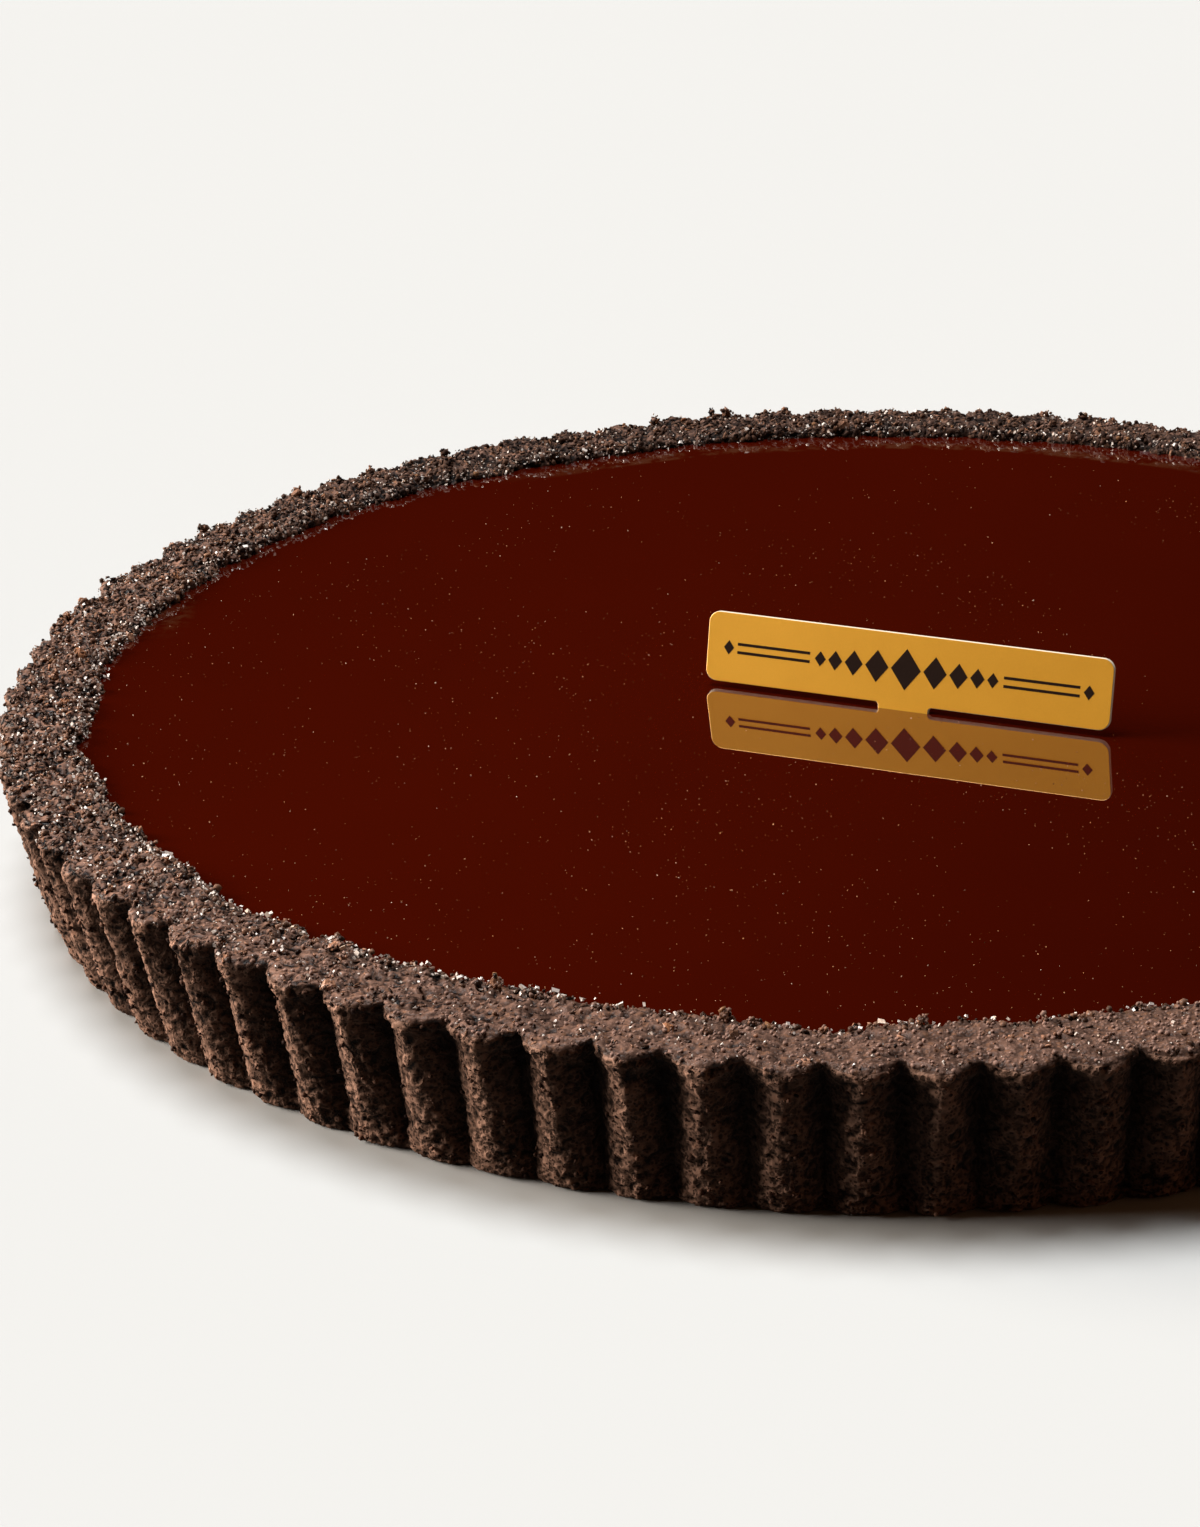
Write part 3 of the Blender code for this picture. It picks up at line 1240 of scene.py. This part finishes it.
@dataclass(frozen=True)
class GlazeDust:
    """Tiny pale specks that lie on the chocolate, thickest towards the front left.

    Attributes:
        reach: How far out they lie.
        patch: The size of the patches in which they lie thicker and thinner.
    """

    grains: Grains = Grains(
        "glaze_dust", SPECK, GrainShape.CRYSTAL, (0.03 * MM, 0.09 * MM), 3200, 23,
        slim=0.8, lift=0.3, tilt=0.1, flat=0.6, slot="dark_chocolate",
    )
    reach: float = 0.101
    patch: float = 0.03

    def build(self) -> None:
        """Lays the specks."""
        rng = np.random.default_rng(self.grains.seed)
        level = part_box("filling")[1][2]
        places = []
        while len(places) < self.grains.count:
            radius = self.reach * math.sqrt(rng.random())
            angle = rng.random() * math.tau
            x, y = radius * math.cos(angle), radius * math.sin(angle)
            patchy = noise.noise(Vector((x, y, 0)) / self.patch)
            if rng.random() < 0.4 + 0.9 * patchy - 2.0 * x - 3.0 * y:
                places.append((x, y, level))
        normals = np.tile((0.0, 0.0, 1.0), (len(places), 1))
        self.grains.lay(np.array(places), normals, rng)


# ---- plaque


@dataclass
class Plaque:
    """The gold card on its tab, with a printed ornament.

    Attributes:
        lozenge: Half the height of the middle lozenge.
        slender: A lozenge's width, as a share of its height.
        shrink: How much smaller each next lozenge is.
        lozenge_gap: The gap between two lozenges.
        rule: Half the thickness of a rule.
        rule_apart: How far a rule is from the card's middle line.
        rule_gap: The gap between the last lozenge and the rules.
        margin: How far the rules stop from the card's end.
        end_gap: How far past the rules the middle of an end lozenge is.
        end_lozenge: Half its width and half its height.
    """

    width: float = 54.9 * MM
    height: float = 9.2 * MM
    thickness: float = 0.7 * MM
    corner: float = 1.5 * MM
    lift: float = 0.8 * MM
    tab_width: float = 6.8 * MM
    tab_depth: float = 6.0 * MM
    tab_shoulder: float = 0.5 * MM
    place: Span = (3.6 * MM, -11.6 * MM)
    turn: float = math.radians(-19.6)
    lean: float = math.radians(-13.1)
    edge_round: float = 0.09 * MM
    ink_height: float = 0.02 * MM
    ink_sunk: float = 0.05 * MM
    lozenge: float = 2.7 * MM
    slender: float = 0.75
    shrink: float = 0.78
    lozenge_gap: float = 0.35 * MM
    rule: float = 0.19 * MM
    rule_apart: float = 0.55 * MM
    rule_gap: float = 0.7 * MM
    margin: float = 4.2 * MM
    end_gap: float = 1.2 * MM
    end_lozenge: Span = (0.7 * MM, 0.95 * MM)

    def __post_init__(self) -> None:
        """Works out where the plaque stands."""
        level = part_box("filling")[1][2]
        spin = Euler((self.lean, 0.0, self.turn)).to_matrix().to_4x4()
        self.stand = Matrix.Translation((*self.place, level)) @ spin

    def outline(self) -> list[Span]:
        """The card's outline with its tab, anticlockwise from the tab's left shoulder."""
        half, bottom, top = self.width / 2, self.lift, self.lift + self.height
        tab, fillet, corner = self.tab_width / 2, self.tab_shoulder, self.corner
        arcs = (
            (-tab - fillet, bottom - fillet, fillet, 90, -90, 6),
            (-tab + fillet, fillet - self.tab_depth, fillet, 180, 90, 4),
            (tab - fillet, fillet - self.tab_depth, fillet, 270, 90, 4),
            (tab + fillet, bottom - fillet, fillet, 180, -90, 6),
            (half - corner, bottom + corner, corner, 270, 90, 12),
            (half - corner, top - corner, corner, 0, 90, 12),
            (corner - half, top - corner, corner, 90, 90, 12),
            (corner - half, bottom + corner, corner, 180, 90, 12),
        )
        points = []
        for x, z, radius, start, turn, steps in arcs:
            for i in range(steps + 1):
                angle = math.radians(start + turn * i / steps)
                points.append((x + radius * math.cos(angle), z + radius * math.sin(angle)))
        return points

    def card(self, face: GoldFinish, rim: PlainFinish) -> None:
        """Makes the card.

        Args:
            face: The finish of its two faces.
            rim: The finish of its cut edge.
        """
        outline = self.outline()
        n = len(outline)
        points = [(x, y, z) for y in (0.0, self.thickness) for x, z in outline]
        faces = tube(2, n, flip=True)
        piece = make_piece("plaque_card", np.array(points), faces, [face.build(), rim.build()])
        piece.data.polygons.foreach_set("material_index", [1] * n + [0, 0])
        piece.data.transform(self.stand)
        soften = piece.modifiers.new("soft_edges", "BEVEL")
        soften.width = self.edge_round
        soften.segments = 3
        soften.limit_method = "ANGLE"
        soften.angle_limit = math.radians(50)
        piece.data.set_sharp_from_angle(angle=math.radians(40))
        dress(piece, "plaque")

    def diamond(self, x: float, wide: float, tall: float) -> list[Span]:
        """A lozenge on the card's middle line, anticlockwise; wide and tall are half sizes."""
        z = self.lift + 0.5 * self.height
        return [(x - wide, z), (x, z - tall), (x + wide, z), (x, z + tall)]

    def motifs(self) -> list[list[Span]]:
        """The ornament's outlines: lozenges that shrink outwards, then a pair of rules."""
        middle = self.lift + 0.5 * self.height
        tall, x = self.lozenge, 0.0
        shapes = [self.diamond(x, self.slender * tall, tall)]
        for _ in range(4):
            x += self.slender * tall + self.lozenge_gap
            tall *= self.shrink
            x += self.slender * tall
            shapes += [self.diamond(side * x, self.slender * tall, tall) for side in (-1, 1)]
        start = x + self.slender * tall + self.rule_gap
        end = self.width / 2 - self.margin
        for side in (-1, 1):
            left, right = sorted((side * start, side * end))
            for z in (middle - self.rule_apart, middle + self.rule_apart):
                low, high = z - self.rule, z + self.rule
                shapes.append([(left, low), (right, low), (right, high), (left, high)])
            shapes.append(self.diamond(side * (end + self.end_gap), *self.end_lozenge))
        return shapes

    def ornament(self, ink: PlainFinish) -> None:
        """Makes the printed ornament.

        Args:
            ink: Its finish.
        """
        points, faces = [], []
        for shape in self.motifs():
            faces += tube(2, len(shape), len(points), flip=True)
            points += [(x, y, z) for y in (-self.ink_height, self.ink_sunk) for x, z in shape]
        piece = make_piece("plaque_ornament", np.array(points), faces, [ink.build()], False)
        piece.data.transform(self.stand)
        dress(piece, None)


# ---- studio


class Sky(Nodes):
    """A pale horizon under a dark ceiling, which gloss mirrors, and an even faint fill."""

    def __init__(self) -> None:
        """Makes the sky the scene's world."""
        world = bpy.data.worlds.new("studio")
        bpy.context.scene.world = world
        super().__init__(world)

    def build(self, pale: Colour, fill: Colour, side: Colour, ceiling: Colour, top: Span) -> None:
        """Sets the sky.

        Args:
            pale: The horizon's colour, seen and mirrored.
            fill: The light that falls on everything from all over.
            side: The light that comes from the right.
            ceiling: What gloss mirrors from higher up.
            top: Between which heights, as sines, the pale horizon gives way to the ceiling.
        """
        look = self.node("ShaderNodeTexCoord", "Generated")
        mirrored = self.mix(self.axis("Z", look).ramp(*top), pale, ceiling)
        glossy = self.node("ShaderNodeLightPath", "Is Glossy Ray")
        seen = self.node("ShaderNodeLightPath", "Is Camera Ray")
        falling = self.mix(self.axis("X", look).ramp(0.3, 1.0), fill, side)
        colour = self.mix(seen, self.mix(glossy, falling, mirrored), pale)
        back = self.node("ShaderNodeBackground", "Background", Color=colour)
        self.node("ShaderNodeOutputWorld", Surface=back)


@dataclass
class Studio:
    """A pale floor, soft light and the camera.

    Attributes:
        bounce: How much of its light the floor throws back up, as a share of its colour.
        distance: How far the camera is from the middle of the tart's foot.
        elevation: How high the camera stands, seen from there, in degrees.
        yaw: How far it is turned to the right, pitch downwards and roll sideways, in degrees.
    """

    floor_reach: float = 6.0
    floor_colour: Colour = (0.451, 0.466, 0.466)
    bounce: float = 0.05
    distance: float = 0.5175
    elevation: float = 23.438
    yaw: float = -4.410
    pitch: float = 22.674
    roll: float = -1.711
    lens: float = 91.0

    def floor(self) -> None:
        """Makes the floor, which the tart stands on."""
        paint = Paint("studio_floor")
        soft = paint.grain(0.4, 2.0)
        shade = tuple(c * 0.985 for c in self.floor_colour)
        colour = paint.mix(soft, self.floor_colour, shade)
        bounced = paint.node("ShaderNodeLightPath", "Is Diffuse Ray")
        dim = tuple(c * self.bounce for c in self.floor_colour)
        material = paint.finish(
            Base_Color=paint.mix(bounced, colour, dim),
            Roughness=0.9,
            Specular_IOR_Level=0.0,
        )
        s = self.floor_reach
        points = np.array([(-s, -s, 0), (s, -s, 0), (s, s, 0), (-s, s, 0)], float)
        floor = make_piece("studio_floor", points, [np.arange(4)[None]], [material])

    def lamp(
        self, name: str, toward: Sequence[float], spread: float, power: float, colour: Colour
    ) -> None:
        """Adds a far lamp.

        Args:
            name: Its name.
            toward: The direction in which it lies.
            spread: How wide it looks, in degrees, which is how soft its shadows are.
            power: Its strength.
            colour: Its colour.
        """
        light = bpy.data.lights.new(name, "SUN")
        light.angle = math.radians(spread)
        light.energy = power
        light.color = colour
        lamp = bpy.data.objects.new(name, light)
        lamp.rotation_euler = Vector(toward).to_track_quat("Z", "Y").to_euler()
        bpy.context.scene.collection.objects.link(lamp)

    def lights(self) -> None:
        """Sets a low warm key lamp at the left, one nearly overhead, and the sky."""
        self.lamp("key", (-0.933, 0.114, 0.342), 34.0, 7.2, (1.0, 0.89, 0.79))
        self.lamp("high", (-0.177, 0.211, 0.961), 28.0, 4.06, (0.975, 0.985, 1.0))
        pale, ceiling = (0.905, 0.896, 0.863), (0.0015, 0.0008, 0.0005)
        fill, side = (0.018, 0.008, 0.003), (0.24, 0.11, 0.050)
        Sky().build(pale, fill, side, ceiling, (0.06, 0.16))

    def camera(self) -> None:
        """Sets the camera, seen from the front and a little above."""
        lens = bpy.data.cameras.new("camera")
        lens.lens = self.lens
        lens.sensor_width = 36.0
        lens.clip_start = 0.01
        eye = bpy.data.objects.new("camera", lens)
        up, yaw, pitch, roll = (
            math.radians(a) for a in (self.elevation, self.yaw, self.pitch, self.roll)
        )
        place = Vector((0, -self.distance * math.cos(up), self.distance * math.sin(up)))
        ahead = Vector(
            (math.sin(yaw) * math.cos(pitch), math.cos(yaw) * math.cos(pitch), -math.sin(pitch))
        )
        right = Vector((math.cos(yaw), -math.sin(yaw), 0))
        above = right.cross(ahead)
        side = math.cos(roll) * right + math.sin(roll) * above
        top = -math.sin(roll) * right + math.cos(roll) * above
        turn = Matrix((side, top, -ahead)).transposed().to_4x4()
        eye.matrix_world = Matrix.Translation(place) @ turn
        bpy.context.scene.collection.objects.link(eye)
        bpy.context.scene.camera = eye
        bpy.context.scene.view_settings.view_transform = "Standard"


def main() -> None:
    """Builds the tart and its studio."""
    logging.basicConfig(level=logging.INFO, format="%(name)s %(message)s")
    crust = Crust()
    surface = crust.build(WALL_CRUMB, RIM_CRUMB)
    Lumps().build(surface, crust)
    LooseGrains().build(surface, crust)
    EdgeSugarGlints().build(surface, crust.edge)
    Filling(crust.edge).build(ChocolateFinish())
    GlazeDust().build()
    plaque = Plaque()
    plaque.card(GoldFinish(), CARD_EDGE)
    plaque.ornament(INK)
    studio = Studio()
    studio.floor()
    studio.lights()
    studio.camera()


if __name__ == "__main__":
    main()
